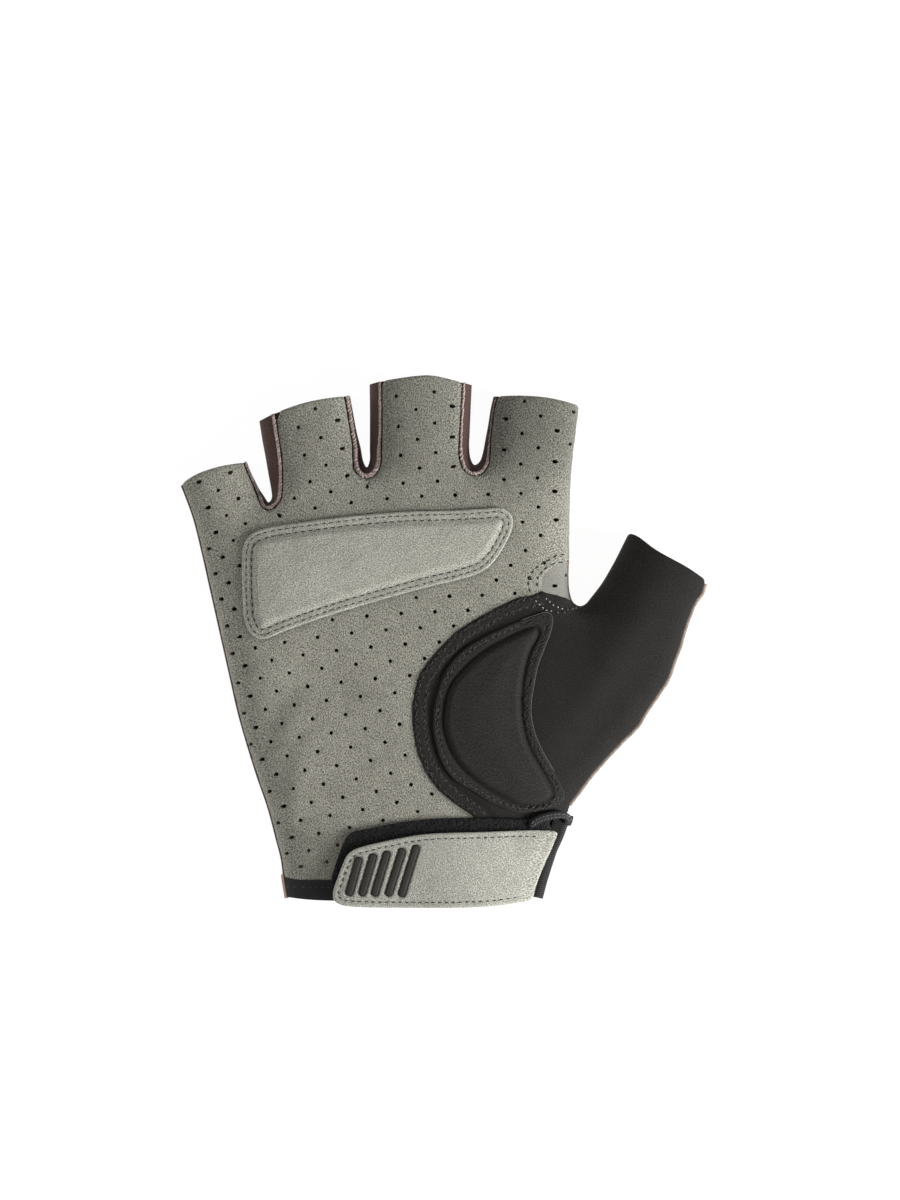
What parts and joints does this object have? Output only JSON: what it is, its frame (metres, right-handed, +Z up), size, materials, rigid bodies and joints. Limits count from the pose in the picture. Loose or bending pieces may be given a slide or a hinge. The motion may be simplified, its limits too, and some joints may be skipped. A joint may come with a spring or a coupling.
{
  "type": "cycling glove",
  "caption": "Short-fingered right-hand cycling glove lying palm up: perforated suede palm, raised palm pad, padded thumb panel, finger gussets and a wrist strap with rubber grip bars.",
  "frame": {"origin": "centre of the bounding box in plan, on the surface the glove lies on", "axes": "+Z up out of the palm, +Y towards the finger ends, +X towards the thumb"},
  "size_m": [0.1466, 0.1474, 0.0244],
  "materials": {
    "suede": "matt napped synthetic suede",
    "suede_strap": "matt napped synthetic suede",
    "microfibre": "matt brushed microfibre",
    "stretch_brown": "matt knitted stretch fabric",
    "stretch_maroon": "matt knitted stretch fabric",
    "tape": "ribbed woven tape",
    "loop": "looped pile",
    "rubber": "satin moulded rubber"
  },
  "bodies": {
    "root": {"palm_panel": "suede", "thumb_crotch_patch": "suede", "palm_pad": "suede", "strap": "suede_strap", "thumb_panel": "microfibre", "thenar_pad": "microfibre", "back_panel": "stretch_brown", "thumb_side_strip": "stretch_brown", "fourchette_little_ring": "stretch_maroon", "fourchette_ring_middle": "stretch_maroon", "fourchette_middle_index": "stretch_maroon", "cuff_binding": "tape", "wrist_tape_side": "tape", "wrist_tape_arch": "tape", "loop_patch": "loop", "strap_bar_1": "rubber", "strap_bar_2": "rubber", "strap_bar_3": "rubber", "strap_bar_4": "rubber", "strap_bar_5": "rubber"}
  },
  "joints": []
}
